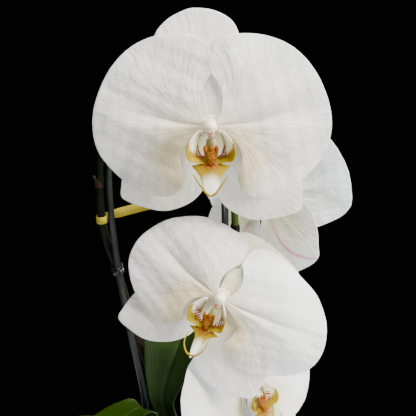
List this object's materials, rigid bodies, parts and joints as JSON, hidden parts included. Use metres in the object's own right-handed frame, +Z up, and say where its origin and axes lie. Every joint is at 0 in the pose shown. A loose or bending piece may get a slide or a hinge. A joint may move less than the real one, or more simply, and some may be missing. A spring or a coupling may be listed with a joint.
{
  "type": "potted moth orchid",
  "caption": "Moth orchid in a round tapered pot of bark: leathery leaves, thick roots, and an arching spike of broad white blooms and buds, clipped to a support rod with a blank loop label.",
  "frame": {"origin": "centre of the pot's flat underside", "axes": "+Z up the plant, -Y towards the faces of the blooms, +X to the viewer's right"},
  "size_m": [0.2222, 0.1894, 0.3609],
  "materials": {
    "pot_glaze": "satin white glaze",
    "bark": "rough",
    "root": "dull silvery green",
    "leaf": "waxy",
    "petal": "soft matt",
    "sepal": "soft matt",
    "column": "smooth",
    "lip": "smooth, white to yellow with red marks",
    "bud": "soft matt",
    "stem": "smooth",
    "rod": "gloss",
    "clip": "gloss",
    "label": "matt"
  },
  "bodies": {
    "root": {"pot": "pot_glaze", "bark_chips": "bark", "crown_and_roots": "root", "leaf_1": "leaf", "leaf_2": "leaf", "leaf_3": "leaf", "leaf_4": "leaf", "leaf_5": "leaf", "bloom_1_petal_right": "petal", "bloom_1_petal_left": "petal", "bloom_1_sepal_upper": "sepal", "bloom_1_sepal_left": "sepal", "bloom_1_sepal_right": "sepal", "bloom_1_column": "column", "bloom_1_lip": "lip", "bloom_2_petal_right": "petal", "bloom_2_petal_left": "petal", "bloom_2_sepal_upper": "sepal", "bloom_2_sepal_left": "sepal", "bloom_2_sepal_right": "sepal", "bloom_2_column": "column", "bloom_2_lip": "lip", "bloom_3_petal_right": "petal", "bloom_3_petal_left": "petal", "bloom_3_sepal_upper": "sepal", "bloom_3_sepal_left": "sepal", "bloom_3_sepal_right": "sepal", "bloom_3_column": "column", "bloom_3_lip": "lip", "bloom_4_petal_right": "petal", "bloom_4_petal_left": "petal", "bloom_4_sepal_upper": "sepal", "bloom_4_sepal_left": "sepal", "bloom_4_sepal_right": "sepal", "bloom_4_column": "column", "bloom_4_lip": "lip", "bud_1": "bud", "bud_2": "bud", "flower_spike": "stem", "support_rod": "rod", "clip_1": "clip", "clip_2": "clip", "clip_3": "clip", "tag_loop": "label"}
  },
  "joints": []
}
